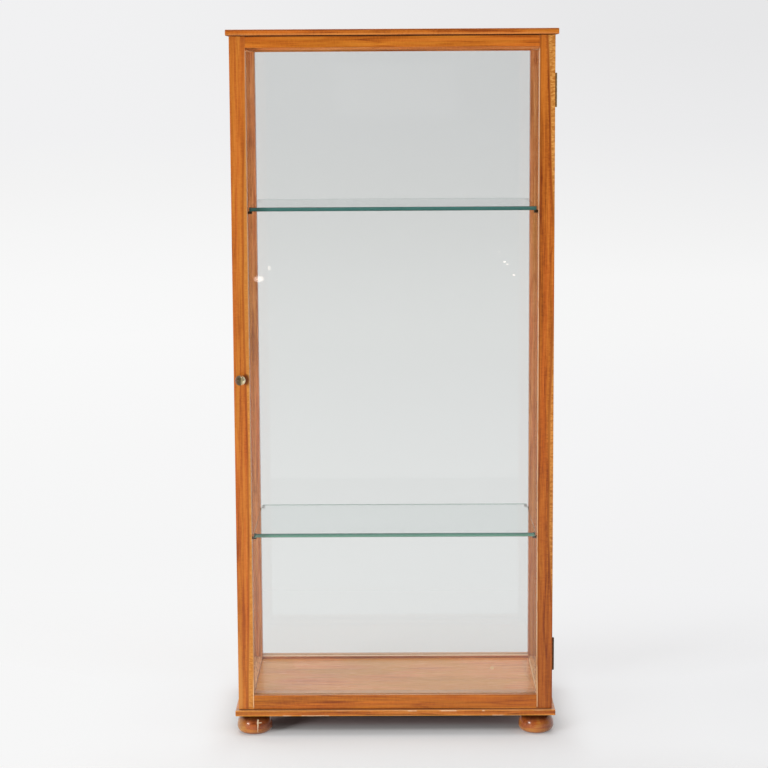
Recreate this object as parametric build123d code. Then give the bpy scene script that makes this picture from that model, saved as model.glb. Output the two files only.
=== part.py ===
from build123d import *
import os

# Display cabinet: a table-top collector's cabinet with glass on all four sides.
# +X is to the right and -Y to the front as one faces the door; +Z is up.
# The origin is under the middle of the cabinet, on the surface that it stands on.

# Carcass of four posts and eight rails
body_width = 490.0
carcass_height = 1042.0
carcass_depth = 253.0
post_width = 22.0
post_depth = 25.0
top_rail_height = 21.0
bottom_rail_height = 18.0
arris_radius = 0.8
cut_overrun = 1.0

# Tenons on the rails, glued into mortises in the posts
tenon_thickness = 8.0
tenon_length = 12.0
tenon_shoulder = 2.0
tenon_setback = 3.0
side_tenon_length = 9.0
joint_clearance = 0.1

# Boards above and below the carcass, and the floor inside it
top_board_thickness = 9.0
base_board_thickness = 9.0
board_side_overhang = 5.0
board_front_overhang = 7.0
board_rear_overhang = 5.0
board_edge_radius = 1.2
floor_thickness = 14.0
floor_clearance = 0.3

# Turned bun feet
foot_radius = 27.5
foot_height = 32.0
foot_base_radius = 16.0
foot_top_radius = 13.0
foot_widest_height = 11.0
foot_edge_inset = 1.0
spigot_radius = 8.0
spigot_length = 7.0

# Glazing, held by beads in rebates
rebate_depth = 6.0
glass_thickness = 4.0
glass_edge_clearance = 0.5
side_lip = 8.0
rear_lip = 9.0
door_lip = 6.0
door_lip_radius = 0.5
bead_clearance = 0.15
bead_edge_radius = 1.0
brad_radius = 0.6
brad_length = 10.0
brad_from_glass = 2.5
brad_end_distance = 17.0
upright_brads = 9
level_brads = 4
side_level_brads = 3
brad_clearance = 0.05

# Door
door_thickness = 20.0
door_gap = 1.0
door_end_gap = 1.0
door_stile_width = 24.0
door_top_rail_height = 17.0
door_bottom_rail_height = 22.0
door_tenon_thickness = 7.0
door_tenon_front = 8.0
door_tenon_length = 14.0
door_tenon_wall = 1.0

# Door knob, with its screw from inside the door
knob_above_middle = 1.5
knob_outward = 1.0
knob_radius = 8.0
knob_projection = 22.0
knob_rose_radius = 6.5
knob_rose_thickness = 2.0
knob_rose_edge = 1.0
knob_neck_radius = 3.0
knob_head_length = 12.5
knob_screw_radius = 2.0
knob_screw_engagement = 8.0
knob_screw_head_radius = 4.0
knob_screw_head_depth = 3.0
knob_screw_slot_width = 1.0
knob_screw_slot_depth = 1.0

# Butt hinges
hinge_height = 50.0
hinge_end_distance = 82.0
knuckle_radius = 2.6
knuckle_outside = 1.6
knuckle_count = 5
knuckle_axial_clearance = 0.2
knuckle_recess = 0.5
hinge_pin_radius = 1.2
hinge_pin_clearance = 0.05
hinge_pin_end = 0.8
hinge_pin_end_radius = 0.6
leaf_thickness = 1.2
leaf_width = 16.0
leaf_gap = 0.2
leaf_clearance = 0.1
hinge_screw_radius = 1.3
hinge_screw_head_radius = 2.6
hinge_screw_length = 12.0
hinge_screw_spacing = 17.0
hinge_screw_edge = 7.5
hinge_screw_stagger = 2.0

# Magnetic catch let into the post and the door
catch_above_knob = 40.0
catch_radius = 5.0
magnet_length = 12.0
strike_thickness = 1.5
strike_screw_radius = 1.0
strike_screw_head_radius = 2.0
strike_screw_length = 10.0
catch_clearance = 0.1

# Glass shelves on brass pins
shelf_thickness = 6.0
shelf_side_clearance = 3.0
shelf_front_setback = 3.0
shelf_rear_clearance = 1.0
shelf_corner_radius = 3.0
shelf_arris_chamfer = 0.4
upper_shelf_height = 777.5
lower_shelf_height = 270.0
shelf_pin_radius = 2.5
shelf_pin_flat = 0.5
shelf_pin_reach = 7.5
shelf_pin_depth = 7.0
shelf_pin_collar_radius = 3.5
shelf_pin_collar_thickness = 1.0
shelf_pin_clearance = 0.05
rear_pin_from_post_face = 4.5

# Countersunk screws through the boards and rails
board_screw_radius = 2.0
board_screw_head_radius = 3.3
base_screw_length = 20.0
top_screw_length = 27.0
board_screw_from_post = 70.0
side_screw_from_post = 45.0
floor_screw_across = 110.0
screw_clearance = 0.05
screw_point_length = 1.6

# Heights above the surface that the cabinet stands on
carcass_bottom = foot_height + base_board_thickness
carcass_top = carcass_bottom + carcass_height
opening_bottom = carcass_bottom + bottom_rail_height
opening_top = carcass_top - top_rail_height
door_bottom = carcass_bottom + door_end_gap
door_top = carcass_top - door_end_gap
door_opening_bottom = door_bottom + door_bottom_rail_height
door_opening_top = door_top - door_top_rail_height

# Places from left to right, measured from the middle
body_half = body_width / 2
post_inner = body_half - post_width
door_opening_half = body_half - door_stile_width
board_half = body_half + board_side_overhang
side_glass_inner = post_inner + side_lip
side_glass_outer = side_glass_inner + glass_thickness

# Places from front to rear, with the middle of the whole depth at zero
front_reach = max(knob_projection, board_front_overhang)
overall_depth = front_reach + door_thickness + door_gap + carcass_depth + board_rear_overhang
door_face = -overall_depth / 2 + front_reach
door_back = door_face + door_thickness
carcass_front = door_back + door_gap
carcass_back = carcass_front + carcass_depth
front_post_back = carcass_front + post_depth
rear_post_front = carcass_back - post_depth
board_front = door_face - board_front_overhang
board_back = carcass_back + board_rear_overhang
rear_glass_front = rear_post_front + rear_lip
rear_glass_back = rear_glass_front + glass_thickness
door_glass_front = door_face + door_lip
door_glass_back = door_glass_front + glass_thickness
pivot_x = body_half + knuckle_outside
pivot_y = door_back + door_gap / 2
hinge_levels = (door_top - hinge_end_distance, door_bottom + hinge_end_distance)
knob_x = -(body_half - door_stile_width / 2 + knob_outward)
knob_z = (carcass_bottom + carcass_top) / 2 + knob_above_middle
catch_x = -(body_half - post_width / 2)
catch_z = knob_z + catch_above_knob


def block(x_range, y_range, z_range):
    """A solid box between two places along each axis, given in either order."""
    spans = [(min(pair), max(pair)) for pair in (x_range, y_range, z_range)]
    sizes = [high - low for low, high in spans]
    middle = [(high + low) / 2 for low, high in spans]
    return Pos(*middle) * Box(*sizes)


def rod(start, direction, length, radius):
    """A round bar from a point along +X, -X, +Y, -Y, +Z or -Z."""
    plane = Plane(origin=start, z_dir=direction)
    return plane * Cylinder(radius, length, align=(Align.CENTER, Align.CENTER, Align.MIN))


def countersunk_screw(face, direction, length, radius, head_radius, clearance=0.0):
    """A wood screw whose flat head is flush at the face; with a clearance, its hole."""
    outline = Polyline(
        (0, 0),
        (head_radius + clearance, 0),
        (radius + clearance, head_radius - radius),
        (radius + clearance, length - screw_point_length),
        (0, length + clearance),
        close=True,
    )
    turned = revolve(make_face(Plane.XZ * outline), Axis.Z)
    return Plane(origin=face, z_dir=direction) * turned


def soften(solid, axis, radius, keep):
    """Round the edges along one axis that the test keeps."""
    edges = [edge for edge in solid.edges().filter_by(axis) if keep(edge.center())]
    return fillet(edges, radius) if edges else solid


def spread(first, last, count):
    """Evenly spaced places from first to last."""
    return [first + (last - first) * index / (count - 1) for index in range(count)]


def write(name, solids):
    """Write one sub-part, as one solid or as a group of separate solids."""
    bodies = []
    for shape in solids if isinstance(solids, list) else [solids]:
        bodies += shape.solids()
    export_step(bodies[0] if len(bodies) == 1 else Compound(bodies), f"parts/{name}.step")


# Fasteners that several wooden pieces are bored for
def base_screw_places():
    """Screws up through the base board into the rails and the floor."""
    middle = (front_post_back + rear_post_front) / 2
    half_run = (rear_post_front - front_post_back) / 2 - side_screw_from_post
    rail_x = post_inner - board_screw_from_post
    places = []
    for side in (-1, 1):
        places.append((side * rail_x, carcass_front + post_depth / 2))
        places.append((side * rail_x, carcass_back - post_depth / 2))
        for row in (-1, 1):
            places.append((side * (body_half - post_width / 2), middle + row * half_run))
            places.append((side * floor_screw_across, middle + row * half_run))
    return places


def base_screws(clearance=0.0):
    level = foot_height
    return [
        countersunk_screw((x, y, level), (0, 0, 1), base_screw_length,
                          board_screw_radius, board_screw_head_radius, clearance)
        for x, y in base_screw_places()
    ]


def top_screw_places():
    """Screws up through the lips of the top rails into the top board."""
    middle = (front_post_back + rear_post_front) / 2
    half_run = (rear_post_front - front_post_back) / 2 - side_screw_from_post
    rail_x = post_inner - board_screw_from_post
    places = []
    for side in (-1, 1):
        places.append((side * rail_x, carcass_front + post_depth / 2))
        places.append((side * rail_x, rear_post_front + rear_lip / 2))
        for row in (-1, 1):
            places.append((side * (post_inner + side_lip / 2), middle + row * half_run))
    return places


def top_screws(clearance=0.0):
    return [
        countersunk_screw((x, y, opening_top), (0, 0, 1), top_screw_length,
                          board_screw_radius, board_screw_head_radius, clearance)
        for x, y in top_screw_places()
    ]


def shelf_pin(side, y, shelf_underside, clearance=0.0):
    """A brass shelf support; with a clearance, the hole in the post for it."""
    centre_z = shelf_underside - shelf_pin_radius + shelf_pin_flat
    face = side * post_inner
    if clearance:
        return rod((face, y, centre_z), (side, 0, 0), shelf_pin_depth + clearance,
                   shelf_pin_radius + clearance)
    peg = rod((face + side * shelf_pin_depth, y, centre_z), (-side, 0, 0),
              shelf_pin_depth + shelf_pin_reach, shelf_pin_radius)
    flat = block((face - side * shelf_pin_collar_thickness,
                  face - side * (shelf_pin_reach + cut_overrun)),
                 (y - shelf_pin_radius, y + shelf_pin_radius),
                 (shelf_underside, shelf_underside + shelf_pin_flat + cut_overrun))
    collar = rod((face, y, centre_z), (-side, 0, 0), shelf_pin_collar_thickness,
                 shelf_pin_collar_radius)
    return peg - flat + collar


def shelf_pins(shelf_underside, clearance=0.0):
    rows = (carcass_front + post_depth / 2, rear_post_front + rear_pin_from_post_face)
    return [shelf_pin(side, y, shelf_underside, clearance) for side in (-1, 1) for y in rows]


def brad(head, direction, clearance=0.0):
    """A headless pin driven in from the face of a bead; with a clearance, its hole."""
    return rod(head, direction, brad_length + clearance, brad_radius + clearance)


def upright_brad_heights(bottom, top):
    return spread(bottom + brad_end_distance, top - brad_end_distance, upright_brads)


def side_brads(side, clearance=0.0):
    """The brads that hold one side pane's four beads."""
    x = side * (side_glass_outer + brad_from_glass)
    brads = []
    for z in upright_brad_heights(opening_bottom, opening_top):
        brads.append(brad((x, front_post_back, z), (0, -1, 0), clearance))
        brads.append(brad((x, rear_post_front, z), (0, 1, 0), clearance))
    for y in spread(front_post_back + brad_end_distance, rear_post_front - brad_end_distance,
                    side_level_brads):
        brads.append(brad((x, y, opening_bottom), (0, 0, -1), clearance))
        brads.append(brad((x, y, opening_top), (0, 0, 1), clearance))
    return brads


def frame_brads(half, y, bottom, top, clearance=0.0):
    """The brads that hold the four beads of the back pane or the door pane."""
    brads = []
    for side in (-1, 1):
        for z in upright_brad_heights(bottom, top):
            brads.append(brad((side * half, y, z), (side, 0, 0), clearance))
    for x in spread(-half + brad_end_distance, half - brad_end_distance, level_brads):
        brads.append(brad((x, y, bottom), (0, 0, -1), clearance))
        brads.append(brad((x, y, top), (0, 0, 1), clearance))
    return brads


def back_brads(clearance=0.0):
    return frame_brads(post_inner, rear_glass_back + brad_from_glass,
                       opening_bottom, opening_top, clearance)


def door_brads(clearance=0.0):
    return frame_brads(door_opening_half, door_glass_back + brad_from_glass,
                       door_opening_bottom, door_opening_top, clearance)


def bored(solid, holes):
    """Cut only the holes whose boxes reach the solid."""
    box = solid.bounding_box()
    near = []
    for hole in holes:
        reach = hole.bounding_box()
        if all((reach.min.X < box.max.X, reach.max.X > box.min.X,
                reach.min.Y < box.max.Y, reach.max.Y > box.min.Y,
                reach.min.Z < box.max.Z, reach.max.Z > box.min.Z)):
            near.append(hole)
    return solid - near if near else solid


# Tenons of the carcass rails, which also give the mortises in the posts
def tenon_heights(level):
    if level == "bottom":
        return carcass_bottom + tenon_shoulder, opening_bottom - rebate_depth
    return opening_top + rebate_depth + tenon_shoulder, carcass_top - tenon_shoulder


def across_tenon(side, row, level, clearance=0.0):
    """The tenon at one end of a front or rear rail."""
    low, high = tenon_heights(level)
    if row == "front":
        near = carcass_front + tenon_setback
    else:
        near = carcass_back - tenon_setback - tenon_thickness
    return block((side * post_inner, side * (post_inner + tenon_length + clearance)),
                 (near - clearance, near + tenon_thickness + clearance),
                 (low - clearance, high + clearance))


def along_tenon(side, row, level, clearance=0.0):
    """The tenon at one end of a side rail."""
    low, high = tenon_heights(level)
    middle = side * (body_half - post_width / 2)
    if row == "front":
        y_range = (front_post_back, front_post_back - side_tenon_length - clearance)
    else:
        y_range = (rear_post_front, rear_post_front + side_tenon_length + clearance)
    half = tenon_thickness / 2 + clearance
    return block((middle - half, middle + half), y_range, (low - clearance, high + clearance))


# Carcass posts
def hinge_cuts_in_post():
    """The shallow housings for the hinge leaves, and the hollows for their knuckles."""
    cuts = []
    for level in hinge_levels:
        half = hinge_height / 2 + leaf_clearance
        cuts.append(block((pivot_x - leaf_width - leaf_clearance, body_half + cut_overrun),
                          (carcass_front - cut_overrun, pivot_y + leaf_gap / 2 + leaf_thickness),
                          (level - half, level + half)))
        hollow = half + hinge_pin_end
        cuts.append(rod((pivot_x, pivot_y, level - hollow), (0, 0, 1), 2 * hollow,
                        knuckle_radius + knuckle_recess))
    return cuts


def carcass_post(side, row):
    y_range = (carcass_front, front_post_back) if row == "front" else (rear_post_front, carcass_back)
    post = block((side * post_inner, side * body_half), y_range, (carcass_bottom, carcass_top))
    outer_y = carcass_front if row == "front" else carcass_back
    post = soften(post, Axis.Z, arris_radius,
                  lambda c: abs(c.X) > post_inner + rebate_depth and abs(c.Y - outer_y) < rebate_depth)
    rebate_z = (opening_bottom - rebate_depth, opening_top + rebate_depth)
    meeting_y = front_post_back if row == "front" else rear_post_front
    inward = -1 if row == "front" else 1
    cuts = [block((side * side_glass_inner, side * (body_half + cut_overrun)),
                  (meeting_y, meeting_y + inward * rebate_depth), rebate_z)]
    if row == "rear":
        cuts.append(block((side * post_inner, side * (post_inner + rebate_depth)),
                          (rear_glass_front, carcass_back + cut_overrun), rebate_z))
    for level in ("bottom", "top"):
        cuts.append(across_tenon(side, row, level, joint_clearance))
        cuts.append(along_tenon(side, row, level, joint_clearance))
    holes = shelf_pins(upper_shelf_height + carcass_bottom, shelf_pin_clearance)
    holes += shelf_pins(lower_shelf_height + carcass_bottom, shelf_pin_clearance)
    holes += side_brads(side, brad_clearance)
    if row == "rear":
        holes += back_brads(brad_clearance)
    if row == "front" and side > 0:
        cuts += hinge_cuts_in_post()
        holes += [hole for level in hinge_levels for hole in hinge_screws(level, 1, screw_clearance)]
    if row == "front" and side < 0:
        holes.append(rod((catch_x, carcass_front, catch_z), (0, 1, 0),
                         magnet_length + catch_clearance, catch_radius + catch_clearance))
    return bored(post - cuts, holes)


# Carcass rails
def across_rail(row, level):
    """A front or rear rail between the posts, with its two tenons."""
    y_range = (carcass_front, front_post_back) if row == "front" else (rear_post_front, carcass_back)
    z_range = (carcass_bottom, opening_bottom) if level == "bottom" else (opening_top, carcass_top)
    rail = block((-post_inner, post_inner), y_range, z_range)
    rail += [across_tenon(side, row, level) for side in (-1, 1)]
    if row == "rear":
        edge, depth = (opening_bottom, -rebate_depth) if level == "bottom" else (opening_top, rebate_depth)
        rail -= block((-post_inner, post_inner), (rear_glass_front, carcass_back + cut_overrun),
                      (edge, edge + depth))
        rail = bored(rail, back_brads(brad_clearance))
    return bored(rail, base_screws(screw_clearance) + top_screws(screw_clearance))


def along_rail(side, level):
    """A side rail between a front and a rear post, with its two tenons."""
    z_range = (carcass_bottom, opening_bottom) if level == "bottom" else (opening_top, carcass_top)
    rail = block((side * post_inner, side * body_half), (front_post_back, rear_post_front), z_range)
    rail += [along_tenon(side, row, level) for row in ("front", "rear")]
    edge, depth = (opening_bottom, -rebate_depth) if level == "bottom" else (opening_top, rebate_depth)
    rail -= block((side * side_glass_inner, side * (body_half + cut_overrun)),
                  (front_post_back, rear_post_front), (edge, edge + depth))
    rail = bored(rail, side_brads(side, brad_clearance))
    return bored(rail, base_screws(screw_clearance) + top_screws(screw_clearance))


# Boards, floor and feet
def foot_places():
    reach = foot_radius + foot_edge_inset
    return {
        f"foot_{row}_{word}": (side * (board_half - reach), y)
        for row, y in (("front", board_front + reach), ("rear", board_back - reach))
        for word, side in (("left", -1), ("right", 1))
    }


def board(bottom, thickness):
    slab = block((-board_half, board_half), (board_front, board_back), (bottom, bottom + thickness))
    return fillet(slab.edges(), board_edge_radius)


def base_board():
    sockets = [
        rod((x, y, foot_height), (0, 0, 1), spigot_length + joint_clearance,
            spigot_radius + joint_clearance)
        for x, y in foot_places().values()
    ]
    return bored(board(foot_height, base_board_thickness) - sockets, base_screws(screw_clearance))


def top_board():
    return bored(board(carcass_top, top_board_thickness), top_screws(screw_clearance))


def floor_panel():
    panel = block((-post_inner + floor_clearance, post_inner - floor_clearance),
                  (front_post_back + floor_clearance, rear_post_front - floor_clearance),
                  (carcass_bottom, carcass_bottom + floor_thickness))
    return bored(panel, base_screws(screw_clearance))


def bun_foot(x, y):
    """A flattened ball, turned with a spigot that is glued into the base board."""
    with BuildPart() as foot:
        with BuildSketch(Plane.XZ):
            with BuildLine():
                Line((0, 0), (foot_base_radius, 0))
                EllipticalCenterArc((foot_base_radius, foot_widest_height),
                                    foot_radius - foot_base_radius, foot_widest_height,
                                    -90, arc_size=90)
                EllipticalCenterArc((foot_top_radius, foot_widest_height),
                                    foot_radius - foot_top_radius,
                                    foot_height - foot_widest_height, 0, arc_size=90)
                Polyline((foot_top_radius, foot_height), (spigot_radius, foot_height),
                         (spigot_radius, foot_height + spigot_length),
                         (0, foot_height + spigot_length), (0, 0))
            make_face()
        revolve(axis=Axis.Z)
    return Pos(x, y, 0) * foot.part


# Panes and their beads
def side_pane(side):
    margin = rebate_depth - glass_edge_clearance
    return block((side * side_glass_inner, side * side_glass_outer),
                 (front_post_back - margin, rear_post_front + margin),
                 (opening_bottom - margin, opening_top + margin))


def framed_pane(half, front, bottom, top):
    margin = rebate_depth - glass_edge_clearance
    return block((-half - margin, half + margin), (front, front + glass_thickness),
                 (bottom - margin, top + margin))


def bead(x_range, y_range, z_range, axis, corner):
    """A square strip, with the edge along the axis that is nearest to a corner rounded."""
    strip = block(x_range, y_range, z_range)
    edge = strip.edges().filter_by(axis).sort_by_distance(corner)[0]
    return fillet(edge, bead_edge_radius)


def side_beads(side):
    """Upright and level beads that hold a side pane from outside."""
    outside = side * body_half
    x_range = (side * side_glass_outer, outside)
    holes = side_brads(side, brad_clearance)
    ends = (opening_bottom - rebate_depth + bead_clearance,
            opening_top + rebate_depth - bead_clearance)
    upright = [
        bead(x_range, (y, y + depth), ends, Axis.Z, (outside, y, ends[0]))
        for y, depth in ((front_post_back, -rebate_depth), (rear_post_front, rebate_depth))
    ]
    run = (front_post_back + bead_clearance, rear_post_front - bead_clearance)
    level = [
        bead(x_range, run, (z, z + height), Axis.Y, (outside, run[0], z))
        for z, height in ((opening_bottom, -rebate_depth), (opening_top, rebate_depth))
    ]
    return [bored(bead, holes) for bead in upright], [bored(bead, holes) for bead in level]


def framed_beads(half, y_range, bottom, top, holes):
    """Upright and level beads that hold the back pane or the door pane."""
    seen = y_range[1]
    ends = (bottom - rebate_depth + bead_clearance, top + rebate_depth - bead_clearance)
    upright = [
        bead((side * half, side * (half + rebate_depth)), y_range, ends,
             Axis.Z, (side * half, seen, ends[0]))
        for side in (-1, 1)
    ]
    run = (-half + bead_clearance, half - bead_clearance)
    level = [
        bead(run, y_range, (z, z + height), Axis.X, (run[0], seen, z))
        for z, height in ((bottom, -rebate_depth), (top, rebate_depth))
    ]
    return [bored(bead, holes) for bead in upright], [bored(bead, holes) for bead in level]


# Door frame
def door_tenon_heights(level):
    if level == "bottom":
        return door_bottom + tenon_shoulder, door_opening_bottom - rebate_depth - door_tenon_wall
    return door_opening_top + rebate_depth + door_tenon_wall, door_top - tenon_shoulder


def door_tenon(side, level, clearance=0.0):
    low, high = door_tenon_heights(level)
    return block((side * door_opening_half, side * (door_opening_half + door_tenon_length + clearance)),
                 (door_face + door_tenon_front - clearance,
                  door_face + door_tenon_front + door_tenon_thickness + clearance),
                 (low - clearance, high + clearance))


def hinge_cuts_in_door():
    """The shallow housings for the hinge leaves, and the hollows for their knuckles."""
    cuts = []
    for level in hinge_levels:
        half = hinge_height / 2 + leaf_clearance
        cuts.append(block((pivot_x - leaf_width - leaf_clearance, body_half + cut_overrun),
                          (door_back + cut_overrun, pivot_y - leaf_gap / 2 - leaf_thickness),
                          (level - half, level + half)))
        hollow = half + hinge_pin_end
        cuts.append(rod((pivot_x, pivot_y, level - hollow), (0, 0, 1), 2 * hollow,
                        knuckle_radius + knuckle_recess))
    return cuts


def door_stile(side):
    stile = block((side * door_opening_half, side * body_half), (door_face, door_back),
                  (door_bottom, door_top))
    stile = soften(stile, Axis.Z, arris_radius, lambda c: abs(c.X) > door_opening_half + rebate_depth)
    stile = soften(stile, Axis.Z, door_lip_radius,
                   lambda c: abs(c.X) < door_opening_half + rebate_depth and c.Y < door_glass_front)
    cuts = [block((side * door_opening_half, side * (door_opening_half + rebate_depth)),
                  (door_glass_front, door_back + cut_overrun),
                  (door_opening_bottom - rebate_depth, door_opening_top + rebate_depth))]
    cuts += [door_tenon(side, level, joint_clearance) for level in ("bottom", "top")]
    holes = door_brads(brad_clearance)
    if side > 0:
        cuts += hinge_cuts_in_door()
        holes += [hole for level in hinge_levels for hole in hinge_screws(level, -1, screw_clearance)]
    else:
        holes.append(rod((knob_x, door_back, knob_z), (0, -1, 0), knob_screw_head_depth,
                         knob_screw_head_radius + joint_clearance))
        holes.append(rod((knob_x, door_back, knob_z), (0, -1, 0), door_thickness,
                         knob_screw_radius + joint_clearance))
        holes.append(rod((catch_x, door_back, catch_z), (0, -1, 0), strike_thickness,
                         catch_radius + catch_clearance))
        holes.append(strike_screw(screw_clearance))
    return bored(stile - cuts, holes)


def door_rail(level):
    z_range = (door_bottom, door_opening_bottom) if level == "bottom" else (door_opening_top, door_top)
    rail = block((-door_opening_half, door_opening_half), (door_face, door_back), z_range)
    rail = soften(rail, Axis.X, door_lip_radius, lambda c: c.Y < door_glass_front)
    rail += [door_tenon(side, level) for side in (-1, 1)]
    edge = door_opening_bottom if level == "bottom" else door_opening_top
    depth = -rebate_depth if level == "bottom" else rebate_depth
    rail -= block((-door_opening_half, door_opening_half), (door_glass_front, door_back + cut_overrun),
                  (edge, edge + depth))
    return bored(rail, door_brads(brad_clearance))


# Knob and catch
def knob():
    """A turned brass knob: a rose, a neck and a rounded head, with a threaded hole."""
    neck_end = knob_projection - knob_head_length
    knob_widest = knob_projection - knob_radius
    with BuildPart() as turned:
        with BuildSketch(Plane.XZ):
            with BuildLine():
                Polyline((0, knob_projection), (0, 0), (knob_rose_radius, 0),
                         (knob_rose_radius, knob_rose_edge),
                         (knob_neck_radius, knob_rose_thickness),
                         (knob_neck_radius, neck_end))
                EllipticalCenterArc((knob_neck_radius, knob_widest),
                                    knob_radius - knob_neck_radius, knob_widest - neck_end,
                                    -90, arc_size=90)
                CenterArc((0, knob_widest), knob_radius, 0, 90)
            make_face()
        revolve(axis=Axis.Z)
    head = Plane(origin=(knob_x, door_face, knob_z), z_dir=(0, -1, 0)) * turned.part
    return head - rod((knob_x, door_face, knob_z), (0, -1, 0), knob_screw_engagement + joint_clearance,
                      knob_screw_radius + screw_clearance)


def knob_screw():
    head = rod((knob_x, door_back, knob_z), (0, -1, 0), knob_screw_head_depth, knob_screw_head_radius)
    shank = rod((knob_x, door_back, knob_z), (0, -1, 0), door_thickness + knob_screw_engagement,
                knob_screw_radius)
    slot = block((knob_x - knob_screw_head_radius, knob_x + knob_screw_head_radius),
                 (door_back + cut_overrun, door_back - knob_screw_slot_depth),
                 (knob_z - knob_screw_slot_width / 2, knob_z + knob_screw_slot_width / 2))
    return head + shank - slot


def strike_screw(clearance=0.0):
    return countersunk_screw((catch_x, door_back, catch_z), (0, -1, 0), strike_screw_length,
                             strike_screw_radius, strike_screw_head_radius, clearance)


def catch_strike():
    disc = rod((catch_x, door_back, catch_z), (0, -1, 0), strike_thickness, catch_radius)
    return disc - strike_screw(screw_clearance)


def catch_magnet():
    return rod((catch_x, carcass_front, catch_z), (0, 1, 0), magnet_length, catch_radius)


# Hinges
def hinge_screws(level, direction, clearance=0.0):
    """Three screws of one leaf: direction 1 goes into the post, -1 into the door."""
    face = pivot_y + direction * leaf_gap / 2
    screws = []
    for place in (-1, 0, 1):
        x = body_half - hinge_screw_edge - (hinge_screw_stagger if place == 0 else 0)
        screws.append(countersunk_screw((x, face, level + place * hinge_screw_spacing),
                                        (0, direction, 0), hinge_screw_length,
                                        hinge_screw_radius, hinge_screw_head_radius, clearance))
    return screws


def knuckle_spans(level, parity):
    """Heights of the knuckles that belong to one leaf."""
    step = hinge_height / knuckle_count
    low = level - hinge_height / 2
    gap = knuckle_axial_clearance / 2
    return [(low + step * index + (gap if index else 0),
             low + step * (index + 1) - (gap if index < knuckle_count - 1 else 0))
            for index in range(parity, knuckle_count, 2)]


def hinge_leaf(level, direction):
    """One leaf and its knuckles: direction 1 is the post's leaf, -1 the door's."""
    near = pivot_y + direction * leaf_gap / 2
    far = near + direction * leaf_thickness
    half = hinge_height / 2
    inner_x = pivot_x - leaf_width
    clear_x = pivot_x - knuckle_radius - knuckle_recess / 2
    joined_x = pivot_x - (knuckle_radius + hinge_pin_radius) / 2
    leaf = block((inner_x, clear_x), (near, far), (level - half, level + half))
    parity = 0 if direction > 0 else 1
    for low, high in knuckle_spans(level, parity):
        leaf += block((clear_x, joined_x), (near, far), (low, high))
        leaf += rod((pivot_x, pivot_y, low), (0, 0, 1), high - low, knuckle_radius)
    leaf -= rod((pivot_x, pivot_y, level - half - cut_overrun), (0, 0, 1),
                hinge_height + 2 * cut_overrun, hinge_pin_radius + hinge_pin_clearance)
    return leaf - hinge_screws(level, direction, screw_clearance)


def hinge_pin(level):
    """A plain pin with a low domed head at each end."""
    half = hinge_height / 2
    pin = rod((pivot_x, pivot_y, level - half), (0, 0, 1), hinge_height, hinge_pin_radius)
    for end, direction in ((level + half, 1), (level - half, -1)):
        cap = rod((pivot_x, pivot_y, end), (0, 0, direction), hinge_pin_end, knuckle_radius)
        rim = [edge for edge in cap.edges() if abs(edge.center().Z - end) > hinge_pin_end / 2]
        pin += fillet(rim, hinge_pin_end_radius)
    return pin


# Shelves
def glass_shelf(underside):
    half = post_inner - shelf_side_clearance
    plate = block((-half, half),
                  (carcass_front + shelf_front_setback, rear_glass_front - shelf_rear_clearance),
                  (underside, underside + shelf_thickness))
    plate = fillet(plate.edges().filter_by(Axis.Z), shelf_corner_radius)
    rims = plate.faces().filter_by(Axis.Z).edges()
    return chamfer(rims, shelf_arris_chamfer)


# Writing out every sub-part
os.makedirs("parts", exist_ok=True)
write("top_board", top_board())
write("base_board", base_board())
write("floor_panel", floor_panel())
for foot_name, (foot_x, foot_y) in foot_places().items():
    write(foot_name, bun_foot(foot_x, foot_y))
for word, side in (("left", -1), ("right", 1)):
    for row in ("front", "rear"):
        write(f"post_{row}_{word}", carcass_post(side, row))
    for level in ("top", "bottom"):
        write(f"side_rail_{level}_{word}", along_rail(side, level))
    upright, level_beads = side_beads(side)
    write(f"side_glass_{word}", side_pane(side))
    write(f"side_beads_upright_{word}", upright)
    write(f"side_beads_level_{word}", level_beads)
    write(f"side_bead_brads_{word}", side_brads(side))
    write(f"door_stile_{word}", door_stile(side))
for level in ("top", "bottom"):
    write(f"front_rail_{level}", across_rail("front", level))
    write(f"rear_rail_{level}", across_rail("rear", level))
    write(f"door_rail_{level}", door_rail(level))
write("back_glass", framed_pane(post_inner, rear_glass_front, opening_bottom, opening_top))
back_upright, back_level = framed_beads(post_inner, (rear_glass_back, carcass_back),
                                        opening_bottom, opening_top, back_brads(brad_clearance))
write("back_beads_upright", back_upright)
write("back_beads_level", back_level)
write("back_bead_brads", back_brads())
write("door_glass", framed_pane(door_opening_half, door_glass_front,
                                door_opening_bottom, door_opening_top))
door_upright, door_level = framed_beads(door_opening_half, (door_glass_back, door_back),
                                        door_opening_bottom, door_opening_top,
                                        door_brads(brad_clearance))
write("door_beads_upright", door_upright)
write("door_beads_level", door_level)
write("door_bead_brads", door_brads())
write("door_knob", knob())
write("knob_screw", knob_screw())
write("catch_strike", catch_strike())
write("strike_screw", strike_screw())
write("catch_magnet", catch_magnet())
for word, level in zip(("upper", "lower"), hinge_levels):
    write(f"hinge_{word}_post_leaf", hinge_leaf(level, 1))
    write(f"hinge_{word}_door_leaf", hinge_leaf(level, -1))
    write(f"hinge_{word}_pin", hinge_pin(level))
write("hinge_post_screws", [screw for level in hinge_levels for screw in hinge_screws(level, 1)])
write("hinge_door_screws", [screw for level in hinge_levels for screw in hinge_screws(level, -1)])
write("shelf_upper", glass_shelf(carcass_bottom + upper_shelf_height))
write("shelf_lower", glass_shelf(carcass_bottom + lower_shelf_height))
write("shelf_pins_upper", shelf_pins(carcass_bottom + upper_shelf_height))
write("shelf_pins_lower", shelf_pins(carcass_bottom + lower_shelf_height))
write("base_screws", base_screws())
write("top_screws", top_screws())
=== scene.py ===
import math

import bmesh
import bpy
from mathutils import Matrix, Vector


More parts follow.
